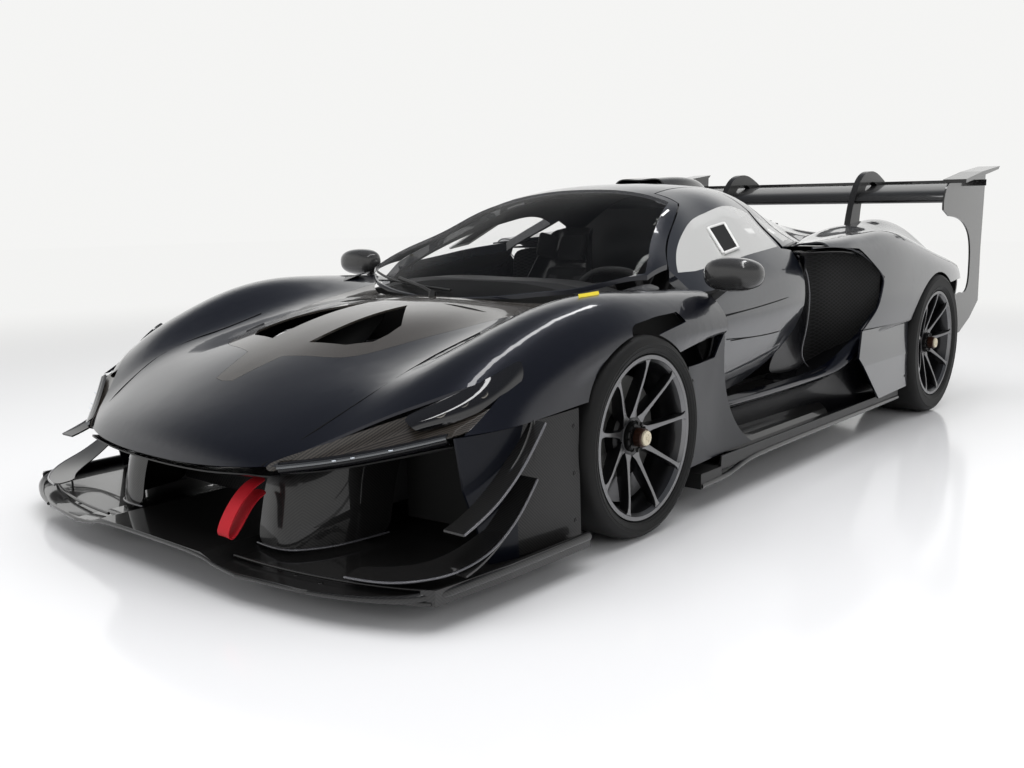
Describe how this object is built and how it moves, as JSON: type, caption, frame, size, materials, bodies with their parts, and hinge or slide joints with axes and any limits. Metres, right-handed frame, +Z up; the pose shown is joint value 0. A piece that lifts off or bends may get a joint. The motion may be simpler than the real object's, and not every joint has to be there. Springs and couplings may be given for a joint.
{
  "type": "track hypercar",
  "caption": "Low mid-engined track-only car with a carbon splitter, blades, side intakes, upswinging doors and a high rear wing on swan necks between deep end plates.",
  "frame": {"origin": "on the ground plane at the middle of the car's overall length and width", "axes": "+X runs rearward along the car, +Y to the car's right, +Z up; the nose faces -X"},
  "size_m": [4.9, 2.144, 1.262],
  "materials": {
    "paint": "gloss",
    "carbon": "gloss",
    "satin_black": "satin",
    "glass": "clear",
    "rubber": "matte",
    "rim_metal": "satin",
    "lamp_glass": "clear",
    "lamp_red": "clear",
    "engine_metal": "matt",
    "arm_metal": "satin",
    "seat_cloth": "matte",
    "strap": "woven"
  },
  "bodies": {
    "car": {"front_clam": "paint", "bonnet_outlet": "carbon", "windscreen": "glass", "quarter_windows": "glass", "roof": "paint", "engine_cover": "paint", "roof_scoop": "carbon", "rear_clam": "paint", "rear_deck": "carbon", "side_ducts": "satin_black", "radiators": "satin_black", "rear_blades": "paint", "front_blades": "paint", "corner_vanes": "paint", "wheel_fairings": "carbon", "dive_planes": "carbon", "splitter": "carbon", "nose_duct": "satin_black", "lamp_shelves": "carbon", "headlamps": "lamp_glass", "floor": "carbon", "side_skirts": "carbon", "sills": "carbon", "tub": "carbon", "dashboard": "satin_black", "seats": "seat_cloth", "steering_wheel": "satin_black", "engine": "engine_metal", "wing": "carbon", "end_plates": "carbon", "swan_necks": "carbon", "tail_frame": "satin_black", "tail_lamps": "lamp_red", "tow_loop": "strap", "front_suspension": "arm_metal", "rear_suspension": "arm_metal"},
    "door_right_body": {"door_right": "paint", "door_glass_right": "glass", "mirror_right": "carbon"},
    "door_left_body": {"door_left": "paint", "door_glass_left": "glass", "mirror_left": "carbon"},
    "knuckle_right": {"upright_right": "arm_metal"},
    "knuckle_left": {"upright_left": "arm_metal"},
    "wheel_front_right": {"tyre_front_right": "rubber", "rim_front_right": "rim_metal"},
    "wheel_front_left": {"tyre_front_left": "rubber", "rim_front_left": "rim_metal"},
    "wheel_rear_right": {"tyre_rear_right": "rubber", "rim_rear_right": "rim_metal"},
    "wheel_rear_left": {"tyre_rear_left": "rubber", "rim_rear_left": "rim_metal"}
  },
  "joints": [
    {"name": "steer_left", "type": "hinge", "parent": "car", "child": "knuckle_left", "pos_m": [-1.2965, -0.845, 0.325], "axis": [0, 0, 1], "range_deg": [-25, 25]},
    {"name": "steer_right", "type": "hinge", "parent": "car", "child": "knuckle_right", "pos_m": [-1.2965, 0.845, 0.325], "axis": [0, 0, 1], "range_deg": [-25, 25]},
    {"name": "wheel_front_left_spin", "type": "hinge", "parent": "knuckle_left", "child": "wheel_front_left", "pos_m": [-1.2965, -0.845, 0.325], "axis": [0, 1, 0], "continuous": true},
    {"name": "wheel_front_right_spin", "type": "hinge", "parent": "knuckle_right", "child": "wheel_front_right", "pos_m": [-1.2965, 0.845, 0.325], "axis": [0, 1, 0], "continuous": true},
    {"name": "wheel_rear_left_spin", "type": "hinge", "parent": "car", "child": "wheel_rear_left", "pos_m": [1.3945, -0.851, 0.3525], "axis": [0, 1, 0], "continuous": true},
    {"name": "wheel_rear_right_spin", "type": "hinge", "parent": "car", "child": "wheel_rear_right", "pos_m": [1.3945, 0.851, 0.3525], "axis": [0, 1, 0], "continuous": true},
    {"name": "door_left_hinge", "type": "hinge", "parent": "car", "child": "door_left_body", "pos_m": [-0.8405, -0.73, 0.8], "axis": [-0.7011, -0.5251, -0.4825], "range_deg": [0, 70]},
    {"name": "door_right_hinge", "type": "hinge", "parent": "car", "child": "door_right_body", "pos_m": [-0.8405, 0.73, 0.8], "axis": [0.7011, -0.5251, 0.4825], "range_deg": [0, 70]}
  ],
  "couplings": [
    {"joint": "steer_right", "follows": "steer_left", "ratio": 1}
  ]
}
